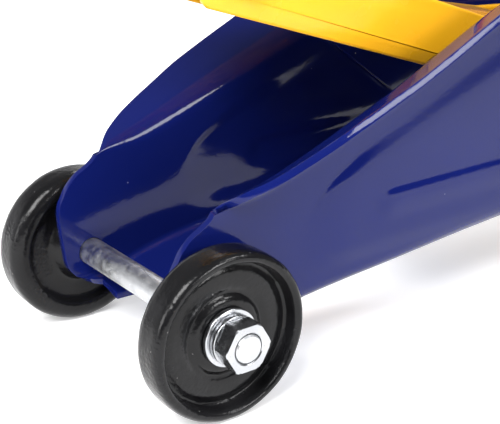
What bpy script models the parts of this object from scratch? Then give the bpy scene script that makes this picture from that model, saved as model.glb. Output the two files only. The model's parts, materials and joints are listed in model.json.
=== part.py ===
# Compact hydraulic trolley jack.
#
# The jack stands on the ground with its front wheels towards -X and its pump handle towards +X.
# Every size below is in millimetres. The "frame" empty sits on the front axle's centre, so
# positions are counted from the axle: x rearwards, y to the right-hand plate, z upwards.
# Shapes that turn sit under an empty, or have their own origin, on their joint's axis.

import math

import bmesh
import bpy
from mathutils import Matrix, Vector

MM = 0.001
GAP = 0.3                      # clearance between touching pieces

# Front end
WHEEL_R = 35.0
WHEEL_IN = 48.5                # wheel's inner and outer rim faces, from the middle plane
WHEEL_OUT = 65.0
HUB_OUT = 60.5
AXLE_R = 6.0
AXLE_END = 74.6
HOLE = 0.3                     # extra radius of a hole round its shaft

# Side plates
PLATE_IN = 43.0
PLATE_T = 3.0
PLATE_OUT = PLATE_IN + PLATE_T
BEND_R = 3.0
LIP_R = 14.0                   # hollow radius between the plate and its flared lip
LIP_RISE = math.radians(26)    # slope of the lip above level
LIP_FLAT = 16.3
LIP_DROP = 8.7                 # the hollow starts this far below the top line
# The next four tables are (x, value) or, for the two ends, (share of the height, x)
TOP_LINE = [(-20, 46.7), (6, 46.7), (25, 50.1), (61, 64.1), (98, 79.6), (133, 96.4), (180, 114.4),
            (205, 119), (258, 119), (320, 107), (380, 95), (430, 90), (460, 88)]
BOTTOM_LINE = [(-20, -13), (5, -13), (28, -6.5), (50, -2.3), (104, 2.1), (152, 5.8), (200, 8), (460, 9.2)]
FLANGE_W = [(-20, 15), (150, 15), (220, 11), (460, 11)]
LIP_SCALE = [(-20, 0.2), (6, 0.2), (25, 0.6), (45, 0.8), (61, 0.91), (98, 1), (180, 1.06), (300, 0.9),
             (446, 0.35)]
NOSE_LINE = [(0, -3), (0.2, -12), (0.45, -14.5), (0.68, -13), (0.77, -10.5), (0.86, -4.8), (0.94, 2), (1, 5)]
TAIL_LINE = [(0, 418), (0.35, 440), (1, 447)]
STATIONS = [0, 0.03, 0.07, 0.12, 0.175, 0.23, 0.305, 0.375, 0.455, 0.575, 0.715, 0.85, 0.95, 1]
PLATE_LEFT, PLATE_RIGHT = (-1, "left"), (1, "right")

# Lift arm: s runs forwards from the pivot, t upwards across the arm
PIVOT = (258.0, 56.0)
ARM_ANGLE = 18.2               # degrees above level at rest
ARM_OUT = 35.0
ARM_T = 3.5
ARM_S = 259.0
ARM_TOP = 12.5
ARM_LOW = -17.7
PIN_S, PIN_T = 243.0, -2.0
PIVOT_R = 10.0
BUSH_R = 14.0
LEVER_R = 40.0                 # pivot to push pin
LEVER_ANGLE = math.radians(30.5)
LEVER_IN, LEVER_OUT = 27.2, 31.2

# Levelling link, parallel to the arm
LINK_DX, LINK_DZ = 36.0, 22.0

# Power unit
RAM_Z = 17.0
RAM_R = 10.0
RAM_FACE = 277.0
BLOCK_X0, BLOCK_X1 = 352.0, 396.0
BLOCK_TOP = 54.0
TUBE_R = 29.5
BOLT_X, BOLT_Z = 374.0, 36.0
VALVE_Y, VALVE_Z = 20.0, 14.0

# Pump handle
HANDLE = (432.0, 68.0)
HANDLE_ANGLE = 50.0            # degrees above level at rest
ROLLER_D = 30.0                # pivot to pump roller, straight down at rest
ROLLER_R = 7.0
HANDLE_END = 524.0
GRIP_R = 15.0

# Rear casters
CASTER_X, CASTER_Y = 385.0, 78.0
CASTER_R = 23.0
TRAIL = 16.0

# The frame's place: the whole jack is centred on the world's origin, standing on z = 0
handle_rad = math.radians(HANDLE_ANGLE)
REAR_END = HANDLE[0] + HANDLE_END * math.cos(handle_rad) + GRIP_R * math.sin(handle_rad)
AXLE_X = -(REAR_END - WHEEL_R) / 2


def clear_scene():
    for obj in list(bpy.data.objects):
        bpy.data.objects.remove(obj, do_unlink=True)


def material(name, colour, roughness, metallic):
    mat = bpy.data.materials.new(name)
    mat.use_nodes = True
    shader = mat.node_tree.nodes["Principled BSDF"]
    shader.inputs["Base Color"].default_value = (*colour, 1)
    shader.inputs["Roughness"].default_value = roughness
    shader.inputs["Metallic"].default_value = metallic
    return mat


def empty(name, location=(0, 0, 0), rotation=(0, 0, 0), parent=None):
    obj = bpy.data.objects.new(name, None)
    bpy.context.collection.objects.link(obj)
    obj.parent = parent
    obj.location = Vector(location) * MM
    obj.rotation_euler = rotation
    return obj


def piece(name, bm, mat, parent, location=(0, 0, 0), rotation=(0, 0, 0)):
    """Makes one object from a mesh in millimetres and closes the mesh with outward normals."""
    bmesh.ops.remove_doubles(bm, verts=bm.verts, dist=1e-4)
    bmesh.ops.recalc_face_normals(bm, faces=bm.faces)
    bmesh.ops.scale(bm, vec=(MM, MM, MM), verts=bm.verts)
    mesh = bpy.data.meshes.new(name)
    bm.to_mesh(mesh)
    bm.free()
    obj = bpy.data.objects.new(name, mesh)
    bpy.context.collection.objects.link(obj)
    obj.parent = parent
    obj.location = Vector(location) * MM
    obj.rotation_euler = rotation
    if mat:
        mesh.materials.append(mat)
    mesh.shade_smooth()
    mesh.set_sharp_from_angle(angle=math.radians(35))
    return obj


def combine(obj, bm, operation="DIFFERENCE"):
    """Cuts obj with a hidden guide body, joins it to obj, or keeps what both share."""
    guide = piece(obj.name + "_guide", bm, None, obj.parent)
    guide.location = obj.location
    guide.rotation_euler = obj.rotation_euler
    guide.hide_render = True
    guide.display_type = "WIRE"
    mod = obj.modifiers.new("shape", "BOOLEAN")
    mod.operation = operation
    mod.solver = "EXACT"
    mod.object = guide


def prism(outline, low, high, axis="Y"):
    """A closed outline pushed along an axis: (x, z) along Y, (y, z) along X, (x, y) along Z."""
    place = {"Y": lambda u, v, w: (u, w, v),
             "X": lambda u, v, w: (w, u, v),
             "Z": lambda u, v, w: (u, v, w)}[axis]
    bm = bmesh.new()
    ends = [[bm.verts.new(place(u, v, w)) for u, v in outline] for w in (low, high)]
    bm.faces.new(ends[0])
    bm.faces.new(ends[1])
    count = len(outline)
    for i in range(count):
        j = (i + 1) % count
        bm.faces.new((ends[0][i], ends[0][j], ends[1][j], ends[1][i]))
    return bm


def box(x0, x1, y0, y1, z0, z1):
    return prism([(x0, z0), (x1, z0), (x1, z1), (x0, z1)], y0, y1)


def turned(profile, segments=24, axis="Z", centre=(0, 0, 0)):
    """Turns (radius, height) points round an axis. A profile that starts and ends on the axis is
    solid, any other is a closed ring. A third value of 6 makes that point's circle a hexagon."""
    bm = bmesh.new()
    solid = profile[0][0] == 0 and profile[-1][0] == 0
    rings = []
    for point in profile:
        radius, height = point[:2]
        if radius == 0:
            rings.append([bm.verts.new((0, 0, height))] * segments)
            continue
        ring = []
        for i in range(segments):
            angle = math.tau * i / segments
            reach = radius
            if len(point) > 2:
                reach = radius * math.cos(math.pi / 6) / math.cos(angle % (math.pi / 3) - math.pi / 6)
            ring.append(bm.verts.new((reach * math.cos(angle), reach * math.sin(angle), height)))
        rings.append(ring)
    pairs = list(zip(rings, rings[1:])) + ([] if solid else [(rings[-1], rings[0])])
    for low, high in pairs:
        for i in range(segments):
            j = (i + 1) % segments
            corners = [low[i], low[j], high[j], high[i]]
            distinct = [v for k, v in enumerate(corners) if v not in corners[:k]]
            bm.faces.new(distinct)
    turn = {"Z": Matrix.Identity(3), "Y": Matrix.Rotation(math.radians(-90), 3, "X"),
            "X": Matrix.Rotation(math.radians(90), 3, "Y")}[axis]
    bmesh.ops.rotate(bm, matrix=turn, verts=bm.verts)
    bmesh.ops.translate(bm, vec=centre, verts=bm.verts)
    return bm


def rod(radius, low, high, segments=24, axis="Y", centre=(0, 0, 0), chamfer=0.6):
    ends = [(0, low), (radius - chamfer, low), (radius, low + chamfer),
            (radius, high - chamfer), (radius - chamfer, high), (0, high)]
    return turned(ends, segments, axis, centre)


def plain_rod(radius, low, high, segments=24, axis="Y", centre=(0, 0, 0)):
    return turned([(0, low), (radius, low), (radius, high), (0, high)], segments, axis, centre)


def ring(inner, outer, low, high, segments=24, axis="Y", centre=(0, 0, 0)):
    return turned([(inner, low), (outer, low), (outer, high), (inner, high)], segments, axis, centre)


def merged(*meshes):
    """Puts several separate bodies into one mesh."""
    bm = bmesh.new()
    for part in meshes:
        moved = [bm.verts.new(v.co) for v in part.verts]
        part.verts.index_update()
        for face in part.faces:
            bm.faces.new([moved[v.index] for v in face.verts])
        part.free()
    return bm


def mirrored(bm, side):
    bmesh.ops.scale(bm, vec=(1, side, 1), verts=bm.verts)
    return bm


def wrap(circles, steps=16):
    """The tight outline round a set of (x, z, radius) circles."""
    points = set()
    for x, z, radius in circles:
        for i in range(steps):
            angle = math.tau * i / steps
            points.add((round(x + radius * math.cos(angle), 4), round(z + radius * math.sin(angle), 4)))
    points = sorted(points)

    def half(row):
        chain = []
        for p in row:
            while len(chain) > 1:
                (ax, az), (bx, bz) = chain[-2:]
                if (bx - ax) * (p[1] - az) - (bz - az) * (p[0] - ax) > 1e-6:
                    break
                chain.pop()
            chain.append(p)
        return chain[:-1]

    return half(points) + half(points[::-1])


def along(table, at):
    """Straight-line reading of a table of (place, value) points."""
    for (a, va), (b, vb) in zip(table, table[1:]):
        if at <= b:
            share = max(0.0, (at - a) / (b - a))
            return va + (vb - va) * share
    return table[-1][1]


def arm_point(s, t):
    """Arm measures to the arm empty's x and z."""
    return -s, t


def arm_in_frame(s, t):
    """Arm measures at rest to the frame's x and z."""
    c, n = math.cos(math.radians(ARM_ANGLE)), math.sin(math.radians(ARM_ANGLE))
    return PIVOT[0] - s * c + t * n, PIVOT[1] + s * n + t * c


# ---- Side plates ----

def plate_section(x_of, station):
    """Points of the plate's inner surface at one station, from the flange's edge to the lip's edge."""
    points = []
    x = x_of(0.0, station)
    for edge, nose in ((True, 14), (False, 5)):
        start = max(x, nose) if station < 0.01 else x
        inset = along(FLANGE_W, start) if edge else BEND_R
        points.append((start, PLATE_IN - inset, along(BOTTOM_LINE, start)))
    for share, _ in NOSE_LINE:
        x = x_of(share, station)
        low = along(BOTTOM_LINE, x) + BEND_R
        high = along(TOP_LINE, x) - LIP_DROP * along(LIP_SCALE, x)
        points.append((x, PLATE_IN, low + (high - low) * share))
    scale = along(LIP_SCALE, x)
    crease = along(TOP_LINE, x)
    sweep = math.pi / 2 - LIP_RISE
    turns = [sweep * k / 3 for k in (1, 2, 3)]
    path = [(LIP_R * (1 - math.cos(turn)), LIP_R * math.sin(turn) - LIP_DROP) for turn in turns]
    path.append((path[-1][0] + LIP_FLAT * math.cos(LIP_RISE), path[-1][1] + LIP_FLAT * math.sin(LIP_RISE)))
    points += [(x, PLATE_IN + scale * out, crease + scale * up) for out, up in path]
    return points


def side_plate(name, side, mat, frame):
    def x_of(share, station):
        nose, tail = along(NOSE_LINE, share), along(TAIL_LINE, share)
        return nose + (tail - nose) * station

    bm = bmesh.new()
    grid = [[bm.verts.new((x, side * y, z)) for x, y, z in plate_section(x_of, s)] for s in STATIONS]
    for left, right in zip(grid, grid[1:]):
        for i in range(len(left) - 1):
            corners = [left[i], right[i], right[i + 1], left[i + 1]]
            bm.faces.new(corners if side > 0 else corners[::-1])
    bmesh.ops.triangulate(bm, faces=bm.faces)
    bmesh.ops.scale(bm, vec=(MM, MM, MM), verts=bm.verts)
    bm.normal_update()
    inward = sum(f.normal.y * side for f in bm.faces)
    if inward > 0:
        bmesh.ops.reverse_faces(bm, faces=bm.faces)
    mesh = bpy.data.meshes.new(name)
    bm.to_mesh(mesh)
    bm.free()
    mesh.materials.append(mat)
    obj = bpy.data.objects.new(name, mesh)
    bpy.context.collection.objects.link(obj)
    obj.parent = frame
    solid = obj.modifiers.new("sheet", "SOLIDIFY")
    solid.thickness = PLATE_T * MM
    solid.offset = -1
    solid.use_even_offset = True
    low, high = sorted((side * (PLATE_IN - 2), side * (PLATE_OUT + 2)))
    holes = [((0, 0), AXLE_R), (PIVOT, PIVOT_R), (link_place(), 5.0), (HANDLE, 6.0), ((BOLT_X, BOLT_Z), 5.0)]
    combine(obj, merged(*[plain_rod(r + HOLE, low, high, 16, "Y", (x, 0, z)) for (x, z), r in holes]))


def link_place():
    return PIVOT[0] + LINK_DX, PIVOT[1] + LINK_DZ


def build_frame(frame, blue, zinc):
    for side, hand in (PLATE_LEFT, PLATE_RIGHT):
        side_plate("side_plate_" + hand, side, blue, frame)
        outline = [(128, 81), (176, 45), (206, 31), (274, 31), (306, 62), (300, 98), (262, 107), (205, 107),
                   (160, 96)]
        doubler = piece("pivot_doubler_" + hand, mirrored(prism(outline, 39.7, 42.7), side), blue, frame)
        combine(doubler, merged(
            plain_rod(PIVOT_R + HOLE, -50, 50, 16, "Y", (PIVOT[0], 0, PIVOT[1])),
            plain_rod(5 + HOLE, -50, 50, 16, "Y", (link_place()[0], 0, link_place()[1]))))
    rest = [(x, along(BOTTOM_LINE, x) + 0.6) for x in (120, 152, 178)]
    outline = rest + [(x, z + PLATE_T) for x, z in reversed(rest)]
    piece("cross_plate", prism(outline, -39.5, 39.5), blue, frame)
    cover = [(312, 92), (318, 96), (400, 84), (400, 82), (318.4, 94), (314, 90.6), (314, 82), (312, 82)]
    piece("top_cover", prism(cover, -42.5, 42.5), blue, frame)

    outer = PLATE_OUT + GAP
    shaft = [(0, -57), (15.5, -57, 6), (17, -55.5, 6), (17, -47.3, 6), (16, -outer, 6), (PIVOT_R, -outer),
             (PIVOT_R, 57), (PIVOT_R - 1, 58), (0, 58)]
    piece("arm_pivot_shaft", turned(shaft, 12, "Y"), zinc, frame, (PIVOT[0], 0, PIVOT[1]))
    bore = PIVOT_R + HOLE
    nut = [(bore, outer), (16, outer, 6), (17, 47.3, 6), (17, 55, 6), (15.8, 56, 6), (bore, 56)]
    piece("pivot_nut", turned(nut, 12, "Y"), zinc, frame, (PIVOT[0], 0, PIVOT[1]))
    x, z = link_place()
    piece("link_rod", rod(5, -48, 48, 16), zinc, frame, (x, 0, z))
    piece("spring_rod", rod(4, -42.6, 42.6, 16), zinc, frame, (345, 0, 53))


# ---- Front axle and wheels ----

def build_front(frame, iron, zinc):
    piece("front_axle", rod(AXLE_R, -AXLE_END, AXLE_END, 24), zinc, frame)
    half = (WHEEL_OUT - WHEEL_IN) / 2
    boss = HUB_OUT - WHEEL_IN - half
    foot = PLATE_OUT + GAP - WHEEL_IN - half
    bore = AXLE_R + HOLE
    wheel = [(bore, foot), (11, foot), (14, -half + 1), (16, -4.2), (25, -4.2), (27, -half), (31.5, -half),
             (34.2, -5.5), (WHEEL_R, 0), (34.2, 5.5), (31.5, half), (28.5, half), (26.2, 1.2), (16.5, 1.2),
             (14.2, boss), (bore, boss)]
    for side, hand in (PLATE_LEFT, PLATE_RIGHT):
        middle = (0, side * (WHEEL_IN + half), 0)
        piece("front_wheel_" + hand, mirrored(turned(wheel, 28, "Y"), side), iron, frame, middle)
        washer = ring(bore, 12, HUB_OUT + GAP, 63.0)
        piece("axle_washer_" + hand, mirrored(washer, side), zinc, frame)
        piece("spring_washer_" + hand, mirrored(ring(bore, 10.3, 63.3, 66.0), side), zinc, frame)
        nut = [(bore, 66.3), (9.9, 66.3, 6), (10.7, 67.1, 6), (10.7, 73.6, 6), (9.7, 74.6, 6), (bore, 74.6)]
        piece("axle_nut_" + hand, mirrored(turned(nut, 12, "Y"), side), zinc, frame)


# ---- Lift arm ----

def build_arm(frame, yellow, zinc, steel):
    arm = empty("arm_pivot", (PIVOT[0], 0, PIVOT[1]), (0, math.radians(ARM_ANGLE), 0), frame)
    web_end = 215.0
    tip = ARM_LOW + 1.4            # the flange is a little shallower at the tip
    outline = [(22, -26), (0, -27), (-20, -20), (-27, 0), (-18, 20), (0, 26), (40, 16), (100, 9.2),
               (ARM_S - 8, ARM_TOP), (ARM_S, ARM_TOP - 7), (ARM_S, tip + 4.5), (ARM_S - 1.4, tip + 1.4),
               (ARM_S - 4.5, tip), (136, ARM_LOW), (131, ARM_LOW + 5), (60, ARM_LOW + 4)]
    body = piece("lift_arm", prism([arm_point(s, t) for s, t in outline], -ARM_OUT, ARM_OUT), yellow, arm)
    inner = ARM_OUT - ARM_T
    tunnel = [(-40, -40), (ARM_S + 20, -40), (ARM_S + 20, 30), (web_end, 30), (web_end, 8.8), (100, 5.7),
              (44, 11.5), (44, 40), (-40, 40)]
    combine(body, prism([arm_point(s, t) for s, t in tunnel], -inner, inner))
    pin = arm_point(PIN_S, PIN_T)
    combine(body, merged(plain_rod(BUSH_R + HOLE, -40, 40, 24),
                         plain_rod(6 + HOLE, -40, 40, 16, "Y", (pin[0], 0, pin[1]))))

    lever_pin = (LEVER_R * math.sin(LEVER_ANGLE), -LEVER_R * math.cos(LEVER_ANGLE))
    for side, hand in (PLATE_LEFT, PLATE_RIGHT):
        outline = wrap([(0, 0, 21), (*lever_pin, 12)], 20)
        lever = piece("lever_plate_" + hand, mirrored(prism(outline, LEVER_IN, LEVER_OUT), side), steel, arm)
        combine(lever, merged(plain_rod(BUSH_R + HOLE, -40, 40, 24),
                              plain_rod(6 + HOLE, -40, 40, 16, "Y", (lever_pin[0], 0, lever_pin[1]))))
    piece("arm_bush", ring(PIVOT_R + HOLE, BUSH_R, -39.2, 39.2), steel, arm)
    piece("push_pin", rod(6, -42, 42, 16), zinc, arm, (lever_pin[0], 0, lever_pin[1]))
    piece("push_roller", ring(6 + HOLE, 10, -26.8, 26.8), steel, arm, (lever_pin[0], 0, lever_pin[1]))
    piece("saddle_pin", rod(6, -39, 39, 16), zinc, arm, (pin[0], 0, pin[1]))


# ---- Saddle and levelling link ----

def build_saddle(frame, yellow, iron, rubber, zinc):
    x, z = arm_in_frame(PIN_S, PIN_T)
    head = empty("saddle_level", (x, 0, z), (0, 0, 0), frame)
    cheeks = wrap([(0, 0, 13), (-20, 14, 4), (20, 14, 4)])
    bracket = piece("saddle_bracket", prism(cheeks, -30.8, 30.8), yellow, head)
    combine(bracket, box(-40, 40, -26.8, 26.8, -30, 13.5))
    combine(bracket, prism(wrap([(LINK_DX, LINK_DZ, 7), (13, 15.2, 2.2)]), -10, 10), "UNION")
    combine(bracket, plain_rod(11, -4.4, 4.4, 16, "Y", (LINK_DX + 2, 0, LINK_DZ + 1)))
    combine(bracket, merged(
        plain_rod(4 + HOLE, -20, 20, 16, "Y", (LINK_DX, 0, LINK_DZ)),
        plain_rod(6 + HOLE, -40, 40, 16),
        plain_rod(8 + HOLE, 9, 40, 24, "Z", (-6, 0, 0))))
    piece("link_pin", rod(4, -12, 12, 16), zinc, head, (LINK_DX, 0, LINK_DZ))

    profile = [(0, 8), (7, 8), (8, 9), (8, 18.3), (13, 18.3), (14, 24), (29.5, 24), (31, 25.5), (31, 35),
               (30, 36), (28, 36), (27.2, 29), (0, 29)]
    saddle = piece("saddle", turned(profile, 24), iron, head, (-6, 0, 0))
    notch = (20, 40, -5, 5, 29.01, 40)
    combine(saddle, merged(*[turned_box(notch, quarter) for quarter in range(4)]))
    pad = [(0, 29.3), (25.5, 29.3), (26.6, 30.4), (26.6, 36), (25.6, 37), (0, 37)]
    piece("saddle_pad", turned(pad, 24), rubber, head, (-6, 0, 0))

    fx, fz = link_place()
    link = empty("link_pivot", (fx, 0, fz), (0, math.radians(ARM_ANGLE), 0), frame)
    far = arm_point(PIN_S, PIN_T)
    bar = piece("levelling_link", prism(wrap([(0, 0, 8), (*far, 7)]), -4, 4), yellow, link)
    combine(bar, merged(plain_rod(5 + HOLE, -9, 9, 16),
                        plain_rod(4 + HOLE, -9, 9, 16, "Y", (far[0], 0, far[1]))))


def turned_box(sides, quarter):
    bm = box(*sides)
    bmesh.ops.rotate(bm, matrix=Matrix.Rotation(quarter * math.pi / 2, 3, "Z"), verts=bm.verts)
    return bm


# ---- Power unit ----

def build_power_unit(frame, iron, steel, zinc, rubber, spring_steel):
    half = [(27.4, -14), (27.4, 10.4), (38.5, 10.4), (42.5, 14.4), (42.5, BLOCK_TOP - 3), (39.5, BLOCK_TOP)]
    outline = half + [(-y, z) for y, z in reversed(half)]
    block = piece("pump_block", prism(outline, BLOCK_X0, BLOCK_X1, "X"), iron, frame)
    combine(block, merged(
        plain_rod(6.4, BLOCK_X0 + 4, BLOCK_X1 + 5, 16, "X", (0, 0, HANDLE[1] - ROLLER_D)),
        plain_rod(5 + HOLE, 28, 50, 16, "Y", (BOLT_X, 0, BOLT_Z)),
        plain_rod(5 + HOLE, -50, -28, 16, "Y", (BOLT_X, 0, BOLT_Z)),
        plain_rod(5.3, BLOCK_X1 - 12, BLOCK_X1 + 5, 16, "X", (0, VALVE_Y, VALVE_Z))))
    face = BLOCK_X0 - GAP
    piece("reservoir_tube", ring(26.5, TUBE_R, 303.3, face, 24, "X"), steel, frame, (0, 0, RAM_Z))
    bore = RAM_R + HOLE
    cylinder = [(bore, 297), (24, 297), (28, 299), (28, 303), (20, 303), (20, face), (bore, face)]
    piece("ram_cylinder", turned(cylinder, 20, "X"), iron, frame, (0, 0, RAM_Z))
    collar = RAM_FACE + 7
    ram = [(0, RAM_FACE), (12, RAM_FACE), (13, RAM_FACE + 1), (13, collar), (RAM_R, collar), (RAM_R, 338),
           (0, 338)]
    piece("ram", turned(ram, 20, "X"), zinc, frame, (0, 0, RAM_Z))
    plug = [(0, 0.9), (4, 0.9), (6.5, 2.5), (6.5, 4.5), (5, 6), (0, 6)]
    piece("filler_plug", turned(plug, 16), rubber, frame, (328, 0, RAM_Z + TUBE_R))

    head = [(0, 29), (5, 29), (5, 46.3), (9, 46.3, 6), (10, 47.2, 6), (10, 53, 6), (9, 54, 6), (0, 54)]
    for side, hand in (PLATE_LEFT, PLATE_RIGHT):
        bolt = mirrored(turned(head, 12, "Y"), side)
        piece("block_bolt_" + hand, bolt, zinc, frame, (BOLT_X, 0, BOLT_Z))
        start, end = Vector((275.5, side * 38, 21.2)), Vector((339.5, side * 38, 50.2))
        length = (end - start).length
        body = plain_rod(3.8, 0, length, 12, "X")
        lean = math.atan2(end.z - start.z, end.x - start.x)
        piece("return_spring_" + hand, body, spring_steel, frame, start, (0, -lean, 0))

    valve = [(0, 386), (5, 386), (5, 396.3), (7, 396.3), (8, 397.3), (8, 407), (7, 408), (0, 408)]
    knob = piece("release_valve", turned(valve, 16, "X"), zinc, frame, (0, VALVE_Y, VALVE_Z))
    combine(knob, box(403.5, 412, -1.3, 1.3, -12, 12))

    axis_z = HANDLE[1] - ROLLER_D
    rear = HANDLE[0] - ROLLER_R - 0.6
    plunger = [(0, 375), (5, 375), (6, 376), (6, rear - 4), (8.4, rear - 4), (8.4, rear - 1), (7.4, rear),
               (0, rear)]
    piece("pump_plunger", turned(plunger, 16, "X"), zinc, frame, (0, 0, axis_z))
    spring = ring(6.6, 8.4, BLOCK_X1 + GAP, rear - 4.3, 16, "X")
    piece("pump_spring", spring, spring_steel, frame, (0, 0, axis_z))


# ---- Pump handle ----

def build_handle(frame, blue, zinc, rubber, steel):
    outer = PLATE_OUT + GAP
    shaft = [(0, -50.5), (7, -50.5), (8.5, -49), (8.5, -outer), (6, -outer), (6, outer), (8.5, outer),
             (8.5, 49), (7, 50.5), (0, 50.5)]
    piece("handle_shaft", turned(shaft, 12, "Y"), zinc, frame, (HANDLE[0], 0, HANDLE[1]))
    grip = empty("handle_pivot", (HANDLE[0], 0, HANDLE[1]), (0, -handle_rad, 0), frame)
    roller = (-ROLLER_D * math.sin(handle_rad), -ROLLER_D * math.cos(handle_rad))
    socket = piece("handle_socket", prism(wrap([(0, 0, 17), (*roller, 9), (30, 0, 15)]), -16, 16), blue, grip)
    combine(socket, turned([(0, 20), (17, 20), (17, 106), (16, 107), (0, 107)], 20, "X"), "UNION")
    combine(socket, rod(11, -42.6, 42.6, 16), "UNION")
    combine(socket, merged(
        plain_rod(6 + HOLE, -60, 60, 12),
        plain_rod(13.4, 34, 120, 16, "X"),
        plain_rod(3 + HOLE, 10, 30, 12, "Z", (88, 0, 0)),
        prism(wrap([(*roller, 18)]), -9.4, 9.4)))
    piece("pump_roller", rod(ROLLER_R, -9.1, 9.1, 16), steel, grip, (roller[0], 0, roller[1]))
    piece("handle_lower_tube", ring(11, 13, 35, 300, 16, "X"), blue, grip)
    piece("handle_upper_tube", ring(9, 10.7, 240, HANDLE_END - 4.3, 16, "X"), blue, grip)
    cap = HANDLE_END - 4
    sleeve = [(0, HANDLE_END), (12, HANDLE_END), (GRIP_R, HANDLE_END - 3), (GRIP_R, 404), (13.5, 402),
              (11, 402), (11, cap), (0, cap)]
    piece("handle_grip", turned(sleeve, 16, "X"), rubber, grip)
    screw = [(0, 13.6), (2.9, 13.6), (2.9, 17.6), (6, 17.6, 6), (6.5, 18.2, 6), (6.5, 23, 6), (5.8, 24, 6),
             (0, 24)]
    piece("clamp_screw", turned(screw, 12), zinc, grip, (88, 0, 0))


# ---- Rear casters ----

def build_casters(frame, blue, zinc, iron):
    for side, hand in (PLATE_LEFT, PLATE_RIGHT):
        foot = PLATE_OUT + GAP
        angle_bar = [(foot, 11.3), (foot + 3, 11.3), (foot + 3, 20.8), (99, 20.8), (100, 21.8), (100, 24),
                     (foot, 24)]
        bar = mirrored(prism(angle_bar, 355, 415, "X"), side)
        bracket = piece("caster_bracket_" + hand, bar, blue, frame)
        combine(bracket, plain_rod(5 + HOLE, 10, 40, 16, "Z", (CASTER_X, side * CASTER_Y, 0)))
        pin = [(0, 13.4), (6.5, 13.4), (7.5, 14.2), (7.5, 17.2), (5, 17.2), (5, 24.3), (9, 24.3), (9, 26.5),
               (6, 29), (0, 29)]
        piece("kingpin_" + hand, turned(pin, 12), zinc, frame, (CASTER_X, side * CASTER_Y, 0))

        swivel = empty("caster_swivel_" + hand, (CASTER_X, side * CASTER_Y, 0), (0, 0, 0), frame)
        wheel_z = CASTER_R - WHEEL_R
        low = wheel_z - 12
        legs = [(-13, low), (-10.5, low), (-10.5, 17.5), (10.5, 17.5), (10.5, low), (13, low), (13, 20.5),
                (-13, 20.5)]
        fork = piece("caster_fork_" + hand, prism(legs, -30, 40, "X"), zinc, swivel)
        shape = wrap([(-11, 18, 4), (13, 18, 4), (TRAIL, wheel_z, 9)])
        combine(fork, prism(shape, -20, 20), "INTERSECT")
        combine(fork, merged(plain_rod(5 + HOLE, 14, 30, 16, "Z"),
                             plain_rod(4 + HOLE, -20, 20, 16, "Y", (TRAIL, 0, wheel_z))))
        hub = 8.0
        bore = 4 + HOLE
        wheel = [(bore, -9.8), (9, -9.8), (10, -5), (15.5, -4.5), (16.5, -hub), (CASTER_R - 2, -hub),
                 (CASTER_R, -hub + 3), (CASTER_R, hub - 3), (CASTER_R - 2, hub), (16.5, hub), (15.5, 4.5),
                 (10, 5), (9, 9.8), (bore, 9.8)]
        piece("caster_wheel_" + hand, turned(wheel, 20, "Y"), iron, swivel, (TRAIL, 0, wheel_z))
        pin = [(0, -16), (6, -16), (6.5, -15), (6.5, -13.3), (4, -13.3), (4, 13.3), (6.5, 13.3), (6.5, 15),
               (6, 16), (0, 16)]
        piece("caster_axle_" + hand, turned(pin, 12, "Y"), zinc, swivel, (TRAIL, 0, wheel_z))


def build():
    clear_scene()
    blue = material("blue_paint", (0.012, 0.022, 0.2), 0.15, 0.0)
    yellow = material("yellow_paint", (0.95, 0.55, 0.03), 0.2, 0.0)
    iron = material("black_iron", (0.015, 0.015, 0.017), 0.3, 0.0)
    zinc = material("zinc_plate", (0.75, 0.76, 0.78), 0.25, 1.0)
    steel = material("dark_steel", (0.2, 0.2, 0.21), 0.4, 1.0)
    spring_steel = material("spring_steel", (0.35, 0.36, 0.38), 0.3, 1.0)
    rubber = material("black_rubber", (0.02, 0.02, 0.02), 0.7, 0.0)
    frame = empty("frame", (AXLE_X, 0, WHEEL_R))
    build_frame(frame, blue, zinc)
    build_front(frame, iron, zinc)
    build_arm(frame, yellow, zinc, steel)
    build_saddle(frame, yellow, iron, rubber, zinc)
    build_power_unit(frame, iron, steel, zinc, rubber, spring_steel)
    build_handle(frame, blue, zinc, rubber, steel)
    build_casters(frame, blue, zinc, iron)


build()
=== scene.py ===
# Compact hydraulic trolley jack: its looks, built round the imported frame.
# Shapes are worked out in millimetres from the front axle's centre (x rearwards, y to the right, z up).
import json
import math

import bmesh
import bpy
from mathutils import Matrix, Vector, noise


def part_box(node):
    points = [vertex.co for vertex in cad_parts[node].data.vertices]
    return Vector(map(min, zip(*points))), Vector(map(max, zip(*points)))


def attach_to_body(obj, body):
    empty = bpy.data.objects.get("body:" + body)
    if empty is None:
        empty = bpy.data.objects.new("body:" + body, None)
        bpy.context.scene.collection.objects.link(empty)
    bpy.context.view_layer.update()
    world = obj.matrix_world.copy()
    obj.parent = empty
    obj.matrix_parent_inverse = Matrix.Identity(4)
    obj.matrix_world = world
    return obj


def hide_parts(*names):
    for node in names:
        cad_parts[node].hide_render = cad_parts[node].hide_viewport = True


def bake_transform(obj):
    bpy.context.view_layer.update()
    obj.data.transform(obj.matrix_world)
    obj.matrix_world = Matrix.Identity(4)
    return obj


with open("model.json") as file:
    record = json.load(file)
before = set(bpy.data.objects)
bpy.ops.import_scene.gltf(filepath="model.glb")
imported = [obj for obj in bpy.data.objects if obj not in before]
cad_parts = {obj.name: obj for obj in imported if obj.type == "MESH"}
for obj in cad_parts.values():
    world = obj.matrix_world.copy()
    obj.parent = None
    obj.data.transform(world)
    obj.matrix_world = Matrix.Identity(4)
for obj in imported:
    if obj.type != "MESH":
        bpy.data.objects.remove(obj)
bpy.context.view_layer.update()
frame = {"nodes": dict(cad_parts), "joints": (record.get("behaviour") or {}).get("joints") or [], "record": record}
print("frame loaded")

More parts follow.
